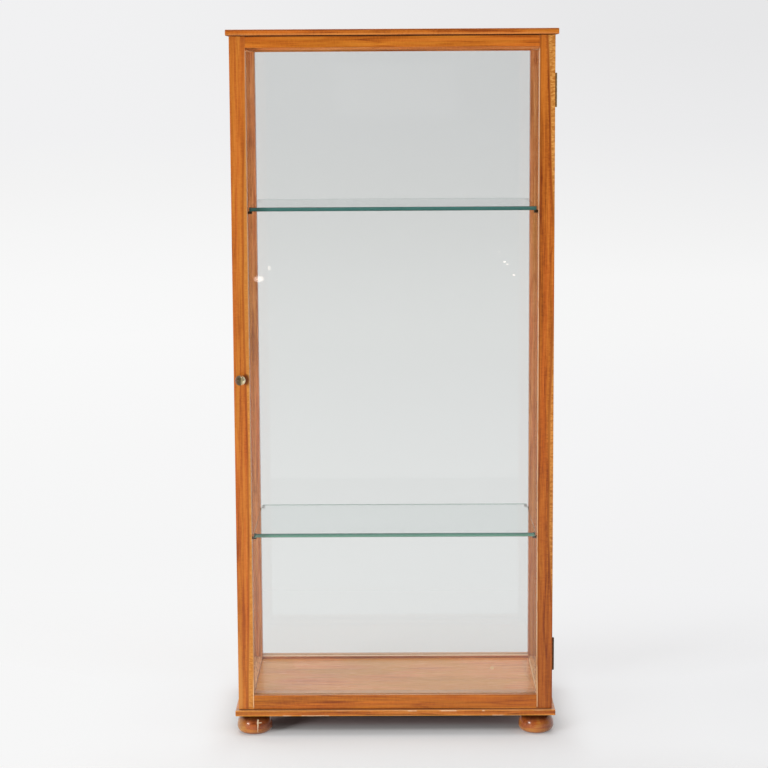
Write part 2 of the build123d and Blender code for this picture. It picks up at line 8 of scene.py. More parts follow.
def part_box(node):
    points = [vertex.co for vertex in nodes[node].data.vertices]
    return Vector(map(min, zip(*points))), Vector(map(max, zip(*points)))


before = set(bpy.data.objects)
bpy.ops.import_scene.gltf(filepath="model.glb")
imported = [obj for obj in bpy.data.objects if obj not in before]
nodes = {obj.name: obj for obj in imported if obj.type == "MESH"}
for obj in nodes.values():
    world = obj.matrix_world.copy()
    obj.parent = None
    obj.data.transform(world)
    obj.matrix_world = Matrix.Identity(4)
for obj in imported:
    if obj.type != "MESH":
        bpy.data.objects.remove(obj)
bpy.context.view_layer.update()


# Bun feet
# Four flattened balls of reddish wood, turned with a spigot that is glued into the base board, and
# varnished to a thick gloss. The front left one has split and shows a pale line of filler.
class Wire:
    """A node's output. Sums written with it add Math nodes to its material."""

    def __init__(self, socket):
        self.socket = socket

    def make(self, kind, settings=None, inputs=None, output=0):
        """Add a node to this material: its settings first, then its sockets' values or wires."""
        tree = self.socket.id_data
        node = tree.nodes.new(kind)
        for name, value in (settings or {}).items():
            setattr(node, name, value)
        for key, value in (inputs or {}).items():
            if isinstance(value, Wire):
                tree.links.new(value.socket, node.inputs[key])
            else:
                node.inputs[key].default_value = value
        return Wire(node.outputs[output]) if node.outputs else None

    def sum(self, operation, *others, clamp=False):
        """One Math node on this wire and others."""
        settings = {"operation": operation, "use_clamp": clamp}
        return self.make("ShaderNodeMath", settings, dict(enumerate((self, *others))))

    def __add__(self, other):
        return self.sum("ADD", other)

    __radd__ = __add__

    def __sub__(self, other):
        return self.sum("SUBTRACT", other)

    def __rsub__(self, other):
        return self.make("ShaderNodeMath", {"operation": "SUBTRACT"}, {0: other, 1: self})

    def __mul__(self, other):
        return self.sum("MULTIPLY", other)

    __rmul__ = __mul__

    def __truediv__(self, other):
        return self.sum("DIVIDE", other)

    def __abs__(self):
        return self.sum("ABSOLUTE")

    def squared(self):
        return self * self

    def least(self, other):
        """The lesser of the two."""
        return self.sum("MINIMUM", other)

    def most(self, other):
        """The greater of the two."""
        return self.sum("MAXIMUM", other)

    def step(self, low, high):
        """0 below low, 1 above high, and smooth between them."""
        settings = {"interpolation_type": "SMOOTHSTEP"}
        inputs = {"Value": self, "From Min": low, "From Max": high}
        return self.make("ShaderNodeMapRange", settings, inputs)

    def between(self, low, high, blur):
        """1 from low to high and 0 beyond them."""
        return self.step(low - blur, low) * (1 - self.step(high, high + blur))

    def tones(self, *stops):
        """A colour that follows this value from stop to stop, each a place and a colour."""
        ramp = self.make("ShaderNodeValToRGB", inputs={"Fac": self})
        elements = ramp.socket.node.color_ramp.elements
        while len(elements) < len(stops):
            elements.new(1.0)
        for element, (place, colour) in zip(elements, stops):
            element.position = place
            element.color = colour
        return ramp

    def follow(self, *stops):
        """A value that goes straight from stop to stop, each a place and a value of 1 at most."""
        first, reach = stops[0][0], stops[-1][0] - stops[0][0]
        greys = [((place - first) / reach, (value, value, value, 1.0)) for place, value in stops]
        return ((self - first) / reach).tones(*greys)

    def mix(self, under, over):
        """The colour under where this is 0 and the colour over where it is 1."""
        settings = {"data_type": "RGBA", "clamp_factor": True}
        return self.make("ShaderNodeMix", settings, {0: self, 6: under, 7: over}, 2)

    def scaled(self, by, shift=(0.0, 0.0, 0.0)):
        """This place or colour times another, axis by axis, and then moved."""
        settings = {"operation": "MULTIPLY_ADD"}
        return self.make("ShaderNodeVectorMath", settings, {0: self, 1: by, 2: shift})

    def noise(self, scale, detail=2.0, roughness=0.5, seed=0.0):
        """Soft noise from 0 to 1 over this wire's places."""
        settings = {"noise_dimensions": "4D"}
        inputs = {"Vector": self, "W": seed, "Scale": scale, "Detail": detail, "Roughness": roughness}
        return self.make("ShaderNodeTexNoise", settings, inputs)


def rgb(red, green, blue):
    """A colour as a paint chart gives it, from 0 to 255, as the light it reflects."""
    parts = [value / 255 for value in (red, green, blue)]
    return (*[p / 12.92 if p <= 0.04045 else ((p + 0.055) / 1.055) ** 2.4 for p in parts], 1.0)


def new_finish(name):
    """An empty material, and the wire of its places in millimetres in the cabinet's own frame."""
    finish = bpy.data.materials.new(name)
    finish.use_nodes = True
    finish.node_tree.nodes.clear()
    place = Wire(finish.node_tree.nodes.new("ShaderNodeTexCoord").outputs["Object"])
    return finish, place.scaled((1000.0, 1000.0, 1000.0))


def axes(place, names="XYZ"):
    """The wires of a place's or a direction's parts along the named axes."""
    split = place.make("ShaderNodeSeparateXYZ", inputs={0: place}).socket.node
    return [Wire(split.outputs[name]) for name in names]


def lay(place, shader, bump=None, depth=0.0, **fixed):
    """Finish a surface: its Principled sockets, and a bump that is depth millimetres high."""
    inputs = {key.replace("_", " "): value for key, value in {**shader, **fixed}.items()}
    if bump is not None:
        relief = {"Height": bump, "Distance": depth / 1000, "Strength": 1.0}
        inputs["Normal"] = place.make("ShaderNodeBump", inputs=relief)
    principled = place.make("ShaderNodeBsdfPrincipled", inputs=inputs)
    place.make("ShaderNodeOutputMaterial", inputs={"Surface": principled})


def dress(finish, *names):
    """Give the named CAD nodes a finish."""
    for name in names:
        nodes[name].data.materials.clear()
        nodes[name].data.materials.append(finish)


def per_axis(along, lengthwise, crosswise):
    """A scale for each axis: one along the grain, and one for the two across it."""
    return tuple(lengthwise if axis == along else crosswise for axis in "xyz")


def grain(place, along, seed):
    """The wood's pattern, 0 dark to 1 light, long in one direction; its ripple; its fibres; and
    where it is redder, towards 1, or more golden, towards 0."""
    run = place.scaled(per_axis(along, 0.04, 1.0), (seed * 31.7, seed * 17.3, seed * 11.9))
    bands = run.noise(0.06, 2.0, 0.5, seed)
    streaks = run.noise(0.26, 3.0, 0.6, seed + 3)
    fibres = run.noise(1.1, 2.0, 0.6, seed + 6)
    rings = 1 - abs(run.noise(0.1, 1.0, 0.5, seed + 9) - 0.5).step(0.0, 0.035)
    waves = place.scaled(per_axis(along, 1.0, 0.35), (seed * 7.1, seed * 5.3, seed * 3.7))
    ripple = waves.noise(0.5, 2.0, 0.5, seed)
    flames = run.noise(0.13, 3.0, 0.55, seed + 12)
    pattern = bands * 0.9 + streaks * 1.9 + fibres * 0.6 + ripple * 0.5 - rings * 0.25 - 1.4
    return pattern, ripple, fibres, flames


foot_x, front_foot_y = 221.5, -107.0
split_x, split_low, split_high, branch_height = -216.6, 4.0, 26.0, 20.5


def filler_line(place):
    """The filled split down the front of the left foot, with one short branch to the right."""
    x, y, z = axes(place)
    wander = z.make("ShaderNodeCombineXYZ", inputs={2: z}).noise(0.35, 2.0, 0.6, 4.0) * 2.4
    across = abs(x - wander - split_x)
    line = 1 - (across - z.step(split_low + 2.0, split_high - 2.0) * 0.9).step(0.05, 0.55)
    branch = (1 - abs(z - branch_height).step(0.4, 1.0)) * x.between(split_x + 0.6, split_x + 6.6, 0.8)
    front = 1 - y.step(front_foot_y - 9.0, front_foot_y - 5.0)
    above = line.most(branch) * front * z.step(split_low, split_low + 2.0)
    return above * (1 - z.step(split_high - 1.5, split_high))


foot_names = ("foot_front_left", "foot_front_right", "foot_rear_left", "foot_rear_right")
for index, foot_name in enumerate(foot_names):
    finish, place = new_finish(foot_name + "_varnish")
    pattern, ripple, fibres, flames = grain(place, "x", 40.0 + index)
    mottled = place.noise(0.07, 1.0, 0.5, index + 3.0)
    colour = (pattern * 0.5 + mottled * 1.4 - 0.48).tones(
        (0.0, rgb(118, 48, 14)), (0.5, rgb(178, 90, 34)), (1.0, rgb(206, 138, 52)))
    x, y, height = axes(place)
    # A painted reflection of the floor along the lower rim.
    rim = height.between(5.0, 8.0, 4.0) * 0.4
    colour = rim.mix(colour, rgb(214, 144, 60))
    # Painted shade at the bottom, and at the top under the base board.
    painted_shade = ((1 - height.step(0.0, 5.0)) * 0.8).most(height.step(20.0, 27.0)) * 0.85
    colour = painted_shade.mix(colour, rgb(50, 18, 6))
    middle_x = foot_x if foot_name.endswith("right") else -foot_x
    shaded = (x - middle_x).step(-6.0, 24.0) * (1 - y.step(-80.0, 90.0)) * 0.6
    colour = shaded.mix(colour, rgb(96, 44, 20))
    rough = fibres * 0.08 + 0.24
    relief = place.noise(0.12, 1.0, 0.4, index)
    if foot_name == "foot_front_left":
        # Painted light on the left side of this foot, towards the lamp.
        olive = (1 - x.step(-246.0, -228.0)) * height.between(8.0, 20.0, 6.0) * 0.6
        colour = olive.mix(colour, rgb(168, 122, 44))
        split = filler_line(place)
        colour = split.mix(colour, rgb(232, 204, 170))
        rough = rough + split * 0.35
        relief = relief - split * 0.4
    lay(place, {"Base_Color": colour, "Roughness": rough}, bump=relief, depth=0.35,
        Specular_IOR_Level=0.5, Specular_Tint=(1.0, 0.88, 0.76, 1.0), Coat_Weight=0.45, Coat_Roughness=0.17)
    dress(finish, foot_name)


# Base board and top board
# Two thin boards of varnished wood with rounded edges, screwed to the carcass. They overhang it by
# 5 mm at the sides and cover the door's ends. Their front arrises are golden and scuffed bare in
# places; on the base board's upper arris the gold is a painted highlight.
board_front = -135.5
base_low, base_high = 32.0, 41.0
top_low, top_high = 1083.0, 1092.0
# Bare wood where the varnish has gone, and the same colour for painted light on edges.
bare_wood_and_sheen = rgb(238, 196, 150)
# A painted sheen on what faces up.
painted_top_sheen = rgb(250, 206, 158)
varnish_tint = (1.0, 0.86, 0.7, 1.0)
# The wood's colour is multiplied by these where it is more golden, plain, or redder.
golden_cast, plain_cast, red_cast = (0.93, 1.0, 0.84, 1.0), (0.98, 0.95, 0.94, 1.0), (1.0, 0.82, 0.84, 1.0)


def wood(name, along, seed, names, tones, gloss=0.28, figure=None, marks=(), ledge=0.0, sides=0.0):
    """A varnished piece of three tones. figure paints what is special in its grain, marks are patches
    of wear down to bare wood and of painted light in that pale colour, ledge pales what faces up
    with a painted sheen, and sides dulls what faces left or right. What faces down was left dull."""
    finish, place = new_finish(name)
    pattern, ripple, fibres, flames = grain(place, along, seed)
    dark, middle, light = tones
    colour = pattern.tones((0.05, rgb(*dark)), (0.5, rgb(*middle)), (0.95, rgb(*light)))
    colour = colour.scaled(flames.tones((0.32, golden_cast), (0.5, plain_cast), (0.68, red_cast)))
    if figure:
        colour = figure(place, ripple, colour)
    sideways, upward = axes(place.make("ShaderNodeTexCoord", output="Normal"), "XZ")
    # Upward faces get a painted sheen.
    if ledge:
        colour = (upward.step(0.5, 0.8) * ledge).mix(colour, painted_top_sheen)
    rough = fibres * 0.14 + (1 - upward.step(-0.8, -0.5)) * 0.6 + (gloss - 0.05)
    if sides:
        rough = rough + abs(sideways).step(0.5, 0.9) * sides
    # Marks paint wear, and some paint light, in the same pale colour.
    for mark in marks:
        wear_and_sheen = mark(place)
        colour = wear_and_sheen.mix(colour, bare_wood_and_sheen)
        rough = rough + wear_and_sheen * 0.45
    lay(place, {"Base_Color": colour, "Roughness": rough}, bump=fibres, depth=0.05,
        Specular_IOR_Level=0.5, Specular_Tint=varnish_tint)
    dress(finish, *names)


def corners(node):
    """A CAD node's lowest and highest corners, in millimetres."""
    return [corner * 1000 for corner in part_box(node)]


def edge_distance(place, node):
    """How far a place on a box-shaped piece is from the piece's nearest edge, in millimetres."""
    sides = zip(axes(place), *corners(node))
    first, second, third = ((wire - low).least(high - wire) for wire, low, high in sides)
    return first.least(second).most(first.most(second).least(third))


def worn_edges(node, width, amount, seed):
    """Bare wood along a piece's edges, in patches."""
    def mark(place):
        edge = 1 - edge_distance(place, node).step(0.0, width)
        patches = place.noise(0.035, 3.0, 0.6, seed)
        return (edge * patches.step(1 - amount, 1.25 - amount)).sum("MULTIPLY", 0.9, clamp=True)
    return mark


def rubbed_spots(low, high, *spots):
    """Short bare places along the base board's front, each from one x to another."""
    def mark(place):
        x, y, z = axes(place)
        on_edge = z.between(low, high, 0.4) * (1 - y.step(board_front + 0.9, board_front + 1.5))
        total = None
        for start, end in spots:
            spot = x.between(start, end, 1.0)
            total = spot if total is None else total.most(spot)
        return on_edge * total * place.noise(0.5, 2.0, 0.6, 8.0).step(0.3, 0.5)
    return mark


def base_figure(place, ripple, colour):
    """Golden front arrises, the upper one a painted highlight, a paler left end, and a rough underside
    painted dark as the shade beneath the board.
    """
    x, y, z = axes(place)
    paled = ((1 - x.step(-190.0, -130.0)) * 0.3).mix(colour, rgb(206, 128, 46))
    front = 1 - y.step(board_front + 0.6, board_front + 1.7)
    upper = z.step(base_high - 1.2, base_high - 0.5) * front
    lower = (1 - z.step(base_low + 0.9, base_low + 2.0)) * front
    # A painted highlight along the upper front arris, and gold along the lower one.
    golden = (upper * 0.8 + lower * 0.75) * (ripple * 0.6 + 0.7)
    # Painted shade on the underside.
    under = (1 - z.step(base_low, base_low + 0.5)) * 0.9
    return under.mix(golden.mix(paled, rgb(232, 160, 56)), rgb(50, 42, 40))


def top_figure(place, ripple, colour):
    """A dark upper arris at the front, a pale band along the lower one, and an underside painted dark as
    the shade in the gap above the door.
    """
    y, z = axes(place, "YZ")
    front = 1 - y.step(board_front + 0.9, board_front + 1.7)
    upper = z.step(top_high - 3.4, top_high - 1.2) * front * (ripple * 0.8 + 0.3)
    lower = z.between(top_low + 1.0, top_low + 2.6, 1.0) * front * (ripple * 0.8 + 0.1)
    arrises = lower.mix(upper.mix(colour, rgb(138, 66, 22)), rgb(222, 142, 70))
    # Painted shade on the underside, which shows in the gap above the door.
    under = (1 - z.step(top_low + 0.1, top_low + 0.8)) * 0.85
    return under.mix(arrises, rgb(92, 30, 6))


upper_arris, lower_arris = (base_high - 1.4, base_high + 1.0), (base_low - 1.0, base_low + 1.2)
wood("base_board_varnish", "x", 2.0, ["base_board"], ((130, 60, 12), (182, 98, 27), (216, 130, 54)),
     figure=base_figure, ledge=0.25, marks=[
         worn_edges("base_board", 1.3, 0.5, 3.0),
         rubbed_spots(*upper_arris, (20.0, 33.0), (70.0, 95.0), (136.0, 139.0)),
         rubbed_spots(*lower_arris, (-176.0, -163.0), (-146.0, -104.0), (152.0, 170.0)),
     ])
wood("top_board_varnish", "x", 5.0, ["top_board"], ((144, 66, 12), (204, 114, 29), (220, 140, 54)),
     figure=top_figure, marks=[worn_edges("top_board", 0.9, 0.42, 5.0)])


# Carcass posts and rails
# Four posts and eight rails, planed square and joined by stub tenons glued into mortises. Their
# inner lips hold the panes. The wood is the same as the door's, a little paler inside.
frame_pieces = (
    ("post_front_left", "z"), ("post_front_right", "z"), ("post_rear_left", "z"), ("post_rear_right", "z"),
    ("front_rail_top", "x"), ("front_rail_bottom", "x"), ("rear_rail_top", "x"), ("rear_rail_bottom", "x"),
    ("side_rail_top_left", "y"), ("side_rail_top_right", "y"),
    ("side_rail_bottom_left", "y"), ("side_rail_bottom_right", "y"),
)
inner_face = 223.0
bottom_rail_top, floor_top = 59.0, 55.0
# The span along the right side rail where light and streaks are painted, from front to rear.
rail_span_front, rail_span_rear = -96.0, 96.0


def shaded_foot(place, ripple, colour):
    """The right-hand posts are darker and greyer towards their feet."""
    [z] = axes(place, "Z")
    return ((1 - z.step(60.0, 560.0)) * 0.35).mix(colour, rgb(140, 88, 62))


def dark_front(place, ripple, colour):
    """The rear bottom rail's front above the floor is darker."""
    [z] = axes(place, "Z")
    below_top = 1 - z.step(bottom_rail_top - 0.6, bottom_rail_top - 0.2)
    return (below_top * 0.4).mix(colour, rgb(124, 72, 36))


def scratched(place, ripple, colour):
    """A side rail's top, scratched across the grain down to golden wood."""
    lines = place.scaled((0.5, 0.07, 1.0)).noise(1.0, 3.0, 0.7, 19.0)
    dented = (1 - lines.step(0.4, 0.46)).mix(colour, rgb(120, 62, 40))
    return (lines.step(0.52, 0.6) * 0.8).mix(dented, rgb(232, 178, 118))


def painted_rail_light(place):
    """Painted light on the inner face of the right side rail above the floor, which lies in shade."""
    x, y, z = axes(place)
    on_face = (1 - (abs(x) - inner_face).step(0.5, 1.5)) * z.step(floor_top - 1.0, floor_top)
    return on_face * y.between(rail_span_front, rail_span_rear, 12.0)


figures = {
    "post_front_right": shaded_foot, "post_rear_right": shaded_foot, "rear_rail_bottom": dark_front,
    "side_rail_bottom_left": scratched, "side_rail_bottom_right": scratched,
}
inner_tones = ((160, 94, 56), (204, 128, 75), (224, 152, 98))
# The top rails' tones are paler: painted light, for the shade under the top board.
top_rail_tones = ((184, 108, 56), (226, 142, 74), (240, 164, 98))
for index, (name, along) in enumerate(frame_pieces):
    marks = [worn_edges(name, 0.7, 0.42, 10.0 + index)]
    if name == "side_rail_bottom_right":
        # Painted light on this rail's inner face.
        marks.append(painted_rail_light)
    tones = top_rail_tones if "rail_top" in name else inner_tones
    ledge = 0.85 if name == "rear_rail_bottom" else 0.3
    wood(name + "_varnish", along, 10.0 + index, [name], tones, gloss=0.24, figure=figures.get(name),
         marks=marks, ledge=ledge)


# Floor inside the cabinet
# A board between the bottom rails, a little below their tops, with the grain from side to side.
# Its thin varnish shows wide pale bands and a few scuffs.
def scuffs(place):
    """Small bare patches, a longer scrape at the right and a chip near the front."""
    patches = place.scaled((0.6, 1.0, 1.0)).noise(0.3, 4.0, 0.7, 12.0)
    x, y = axes(place, "XY")
    scrape = 1 - ((x - 159.5).squared() + (y - 59.5).squared() * 0.12).step(6.0, 16.0)
    chip = 1 - ((x - 74.8).squared() * 0.3 + (y + 79.0).squared() * 0.3).step(3.0, 8.0)
    return patches.step(0.7, 0.78) * 0.35 + scrape + chip


def yellowed(place, ripple, colour):
    """Wide patches of the floor that have yellowed, and its right edge, streaked with scratches and a
    painted reflection of the side rail.
    """
    patches = place.scaled((0.5, 1.0, 1.0)).noise(0.016, 2.0, 0.5, 21.0)
    golden = (patches.step(0.44, 0.6) * 0.55).mix(colour, rgb(222, 156, 68))
    x, y = axes(place, "XY")
    lines = place.scaled((1.0, 0.07, 1.0)).noise(0.9, 3.0, 0.7, 23.0)
    scratches = lines.tones((0.36, rgb(140, 84, 50)), (0.46, rgb(196, 132, 84)), (0.6, rgb(236, 186, 134)))
    # Scratches and a painted reflection of the side rail, along its inner face.
    beside_rail = x.step(inner_face - 15.0, inner_face - 7.0) * y.between(rail_span_front, rail_span_rear, 20.0)
    return (beside_rail * 0.5).mix(golden, scratches)


wood("floor_panel_varnish", "x", 26.0, ["floor_panel"], ((206, 124, 66), (238, 158, 90), (248, 176, 110)),
     gloss=0.24, figure=yellowed, marks=[scuffs])


# Panes
# Three panes of clear 4 mm window glass, in rebates in the posts and rails, and the same in the
# door. They were wiped by hand and carry faint smears.
def light_path(place):
    """What kind of ray looks at a surface, as the sockets of a Light Path node."""
    return place.make("ShaderNodeLightPath").socket.node.outputs


def glass(name, clear, names, smears=0.02, edge=None):
    """Clear glass, whose edge may look solid. Lamps and bounced light go straight through it, so
    that they reach inside."""
    finish, place = new_finish(name)
    wiped = place.scaled((0.012, 0.012, 0.004)).noise(1.0, 3.0, 0.65, 7.0)
    body = place.make("ShaderNodeBsdfPrincipled", inputs={
        "Base Color": clear, "Roughness": wiped.step(0.6, 0.8) * smears,
        "IOR": 1.5, "Transmission Weight": 1.0,
    })
    if edge:
        body = edge(place, body)
    through = place.make("ShaderNodeBsdfTransparent", inputs={"Color": (0.975, 0.982, 0.978, 1.0)})
    ray = light_path(place)
    lighting = Wire(ray["Is Shadow Ray"]).most(Wire(ray["Is Diffuse Ray"]))
    shader = place.make("ShaderNodeMixShader", inputs={0: lighting, 1: body, 2: through})
    place.make("ShaderNodeOutputMaterial", inputs={"Surface": shader})
    dress(finish, *names)


glass("pane_glass", (0.907, 0.917, 0.911, 1.0),
      ["side_glass_left", "side_glass_right", "back_glass", "door_glass"])


# Beads and brads
# Square strips hold the panes in their rebates: outside on the sides and back, inside on the
# door. Headless steel pins fix them, and their ends show as dark dots.
bead_sets = (
    ("side_beads_upright_left", "z"), ("side_beads_upright_right", "z"),
    ("side_beads_level_left", "y"), ("side_beads_level_right", "y"),
    ("back_beads_upright", "z"), ("back_beads_level", "x"),
    ("door_beads_upright", "z"), ("door_beads_level", "x"),
)
bead_tones = ((152, 80, 36), (194, 118, 62), (216, 142, 84))
for index, (name, along) in enumerate(bead_sets):
    wood(name + "_varnish", along, 30.0 + index, [name], bead_tones, gloss=0.24, ledge=0.45)


def metal(name, dull, bright, smooth, rough, names):
    """A metal with tarnish in patches: dull and rough, or bright and smooth where it is rubbed."""
    finish, place = new_finish(name)
    brightened = place.noise(0.6, 4.0, 0.6, 2.0).step(0.35, 0.65)
    scratches = place.scaled((1.0, 1.0, 4.0)).noise(3.0, 2.0, 0.6, 9.0)
    lay(place, {"Base_Color": brightened.mix(dull, bright), "Roughness": rough - brightened * (rough - smooth)},
        bump=scratches, depth=0.02, Metallic=1.0)
    dress(finish, *names)


metal("brad_steel", rgb(54, 44, 36), rgb(96, 82, 68), 0.35, 0.6,
      ["side_bead_brads_left", "side_bead_brads_right", "back_bead_brads", "door_bead_brads"])


# Screws and catch
# Steel screws hold the boards to the carcass, and one holds the knob from inside the door. A round
# magnet let into the left front post holds a steel strike, which is screwed to the door's back.
metal("screw_steel", rgb(120, 116, 110), rgb(176, 174, 170), 0.28, 0.45,
      ["base_screws", "top_screws", "knob_screw", "strike_screw", "catch_strike", "catch_magnet"])


# Shelves and their pins
# Two plates of 6 mm glass with polished green edges lie loose on brass pins, which are pushed
# into holes in the posts and have a flat on top.
shelf_clear = (0.93, 0.965, 0.955, 1.0)
upper_shelf_bottom, lower_shelf_bottom = 818.5, 311.0


def green_edge(bottom, lower, upper, ends):
    """The polished front and rear edges of a shelf, and its paler ends, painted solid in the colours
    that the light through the glass gives them.
    """
    def edge(place, body):
        [z] = axes(place, "Z")
        sideways, backwards, upward = axes(place.make("ShaderNodeTexCoord", output="Normal"))
        front = (z - bottom).step(1.0, 4.5).mix(lower, upper)
        rear = (backwards.step(0.5, 0.8) * 0.7).mix(front, rgb(196, 216, 206))
        colour = abs(sideways).step(0.5, 0.8).mix(rear, ends)
        solid = place.make("ShaderNodeBsdfPrincipled", inputs={
            "Base Color": colour, "Roughness": place.noise(0.05) * 0.1 + 0.1,
        })
        on_edge = 1 - abs(upward).step(0.5, 0.8)
        return place.make("ShaderNodeMixShader", inputs={0: on_edge * 0.92, 1: body, 2: solid})
    return edge


glass("upper_shelf_glass", shelf_clear, ["shelf_upper"], smears=0.015,
      edge=green_edge(upper_shelf_bottom, rgb(66, 118, 112), rgb(74, 126, 120), rgb(170, 168, 150)))
glass("lower_shelf_glass", shelf_clear, ["shelf_lower"], smears=0.015,
      edge=green_edge(lower_shelf_bottom, rgb(108, 166, 142), rgb(80, 130, 116), rgb(214, 204, 190)))
metal("pin_brass", rgb(64, 52, 36), rgb(104, 86, 58), 0.35, 0.55, ["shelf_pins_upper", "shelf_pins_lower"])


# Door frame
# Two stiles the whole height of the door and two rails tenoned between them, varnished orange
# brown. Golden bands with a fine ripple and dark lines beside them run down the stiles' edges.
stile_inner, stile_outer = 221.0, 245.0
door_front, door_low, door_high = -128.5, 42.0, 1082.0
door_glass_top = 1065.0
# Where the knob's shadow is painted on the left stile.
knob_shadow_x, knob_shadow_z = -226.5, 563.0
widest_band, widest_wedge, edge_width = 10.0, 12.5, 8.5


def left_stile_figure(place, ripple, colour):
    """A golden band along the glass with a dark line beside it, a golden left edge low down, the
    knob's shadow painted at its right, and a painted sheen on the inner face."""
    x, z = axes(place, "XZ")
    width = z.follow((40.0, 0.92), (90.0, 0.87), (137.0, 0.72), (249.0, 0.5), (312.0, 0.4), (438.0, 0.38),
                     (531.0, 0.47), (624.0, 0.65), (700.0, 0.72), (777.0, 0.6), (852.0, 0.48), (913.0, 0.3),
                     (960.0, 0.0), (1083.0, 0.0)) * widest_band
    low = 1 - z.step(540.0, 620.0)
    beyond_band = -stile_inner - x + (ripple - 0.5) * 2.4 - width
    beside = beyond_band.between(0.0, 1.6, 1.6) * width.step(0.5, 3.0)
    darkened = (beside * 0.42).mix(colour, rgb(138, 60, 14))
    edge = (edge_width - stile_outer - x).step(0.0, 4.5) * (1 - z.step(40.0, 230.0)) * 0.8
    edged = edge.mix(darkened, rgb(214, 142, 66))
    band = (1 - beyond_band.step(-1.6, 0.4)) * width.step(0.2, 1.6)
    gold = (ripple.step(0.36, 0.66) * (low * 0.5 + 0.5)).mix(rgb(196, 120, 44), rgb(220, 148, 64))
    banded = (band * 0.94).mix(edged, gold)
    # The knob's shadow, painted on the stile at its right.
    knob_shadow = 1 - ((x - knob_shadow_x).squared() + (z - knob_shadow_z).squared() * 0.3).step(8.0, 34.0)
    shadowed_by_knob = (knob_shadow * 0.9).mix(banded, rgb(112, 48, 8))
    # A painted sheen on the inner face.
    return (x.step(-stile_inner - 0.5, -stile_inner - 0.1) * 0.6).mix(shadowed_by_knob, rgb(216, 148, 94))


def right_stile_figure(place, ripple, colour):
    """Golden wedges along the hinged edge, a dark line beside each and one beside the glass."""
    x, y, z = axes(place)
    width = z.follow((40.0, 0.0), (195.0, 0.0), (249.0, 0.3), (313.0, 0.52), (499.0, 0.51), (560.0, 0.33),
                     (622.0, 0.22), (690.0, 0.0), (740.0, 0.0), (790.0, 0.06), (835.0, 0.25), (873.0, 0.41),
                     (910.0, 0.53), (985.0, 0.62), (1010.0, 0.72), (1060.0, 0.86),
                     (1083.0, 0.95)) * widest_wedge
    high = z.step(700.0, 900.0)
    reddened = ((1 - z.step(60.0, 520.0)) * 0.4).mix(colour, rgb(138, 58, 18))
    light = z.step(880.0, 1040.0) * x.between(stile_inner + 3.0, stile_inner + 10.0, 3.0) * 0.5
    lightened = light.mix(reddened, rgb(216, 122, 36))
    beyond_band = stile_outer - x + (ripple - 0.5) * 4.6 - width
    beside = beyond_band.between(0.0, 1.5, 2.5) * width.step(0.0, 2.0).most(high * 0.9)
    thin_line = x.between(stile_inner + 1.2, stile_inner + 2.6, 0.8)
    wide_line = x.between(stile_inner + 1.2, stile_inner + 4.4, 1.0) * z.between(830.0, 930.0, 50.0)
    darkened = (beside.most(thin_line.most(wide_line)) * 0.42).mix(lightened, rgb(112, 42, 6))
    band = (1 - beyond_band.step(-2.2, 0.6)) * width.step(0.2, 1.6)
    gold = ripple.step(0.36, 0.66).mix(rgb(186, 112, 36), rgb(232, 166, 84))
    front = 1 - y.step(door_front + 0.2, door_front + 2.5) * 0.75
    return (band * (high * 0.3 + 0.62) * front).mix(darkened, gold)


def pale_inner_edge(side, strength, foot):
    """A painted highlight along the stile's inner edge beside the glass, and as much as foot says low down.
    """
    def mark(place):
        x, z = axes(place, "XZ")
        low = 1 - z.step(60.0, 130.0)
        line = 1 - (abs(x) - stile_inner - low * 0.8).step(0.2, 1.1)
        below_rail = 1 - z.step(door_glass_top - 5.0, door_glass_top - 1.0)
        reach = z.step(door_low, door_low + 4.0) * below_rail * (x * side).step(0.0, 10.0)
        breaks = place.scaled((0.2, 0.2, 0.03)).noise(1.0, 3.0, 0.6, 5.0 + side).step(0.28, 0.5)
        return line * reach * (breaks * strength).most(low * foot)
    return mark


def top_rail_figure(place, ripple, colour):
    """Its top, hidden under the board, is painted dark as the shade in the gap there."""
    [z] = axes(place, "Z")
    return (z.step(door_high - 1.2, door_high - 0.4) * 0.8).mix(colour, rgb(74, 26, 8))


def bottom_rail_figure(place, ripple, colour):
    """It is redder towards the right, and its lower arris is golden there."""
    x, z = axes(place, "XZ")
    brightened = (1 - z.step(door_low + 0.6, door_low + 1.6)) * x.step(80.0, 150.0) * (ripple * 0.6 + 0.6)
    redder = (x.step(-60.0, 160.0) * 0.3).mix(colour, rgb(166, 72, 20))
    return brightened.mix(redder, rgb(236, 158, 66))


left_stile_tones = ((160, 76, 22), (197, 108, 34), (214, 130, 48))
right_stile_tones = ((122, 50, 8), (186, 98, 24), (214, 128, 44))
wood("door_stile_left_varnish", "z", 50.3, ["door_stile_left"], left_stile_tones,
     figure=left_stile_figure, marks=[pale_inner_edge(-1, 0.45, 0.9)], ledge=0.3, sides=0.4)
wood("door_stile_right_varnish", "z", 53.1, ["door_stile_right"], right_stile_tones,
     figure=right_stile_figure, marks=[pale_inner_edge(1, 0.9, 0.6)], ledge=0.3, sides=0.4)
wood("door_rail_top_varnish", "x", 56.0, ["door_rail_top"], ((140, 62, 8), (195, 106, 22), (220, 132, 38)),
     figure=top_rail_figure, ledge=0.3)
wood("door_rail_bottom_varnish", "x", 59.0, ["door_rail_bottom"],
     ((138, 62, 14), (186, 104, 28), (214, 128, 36)), figure=bottom_rail_figure, ledge=0.3)


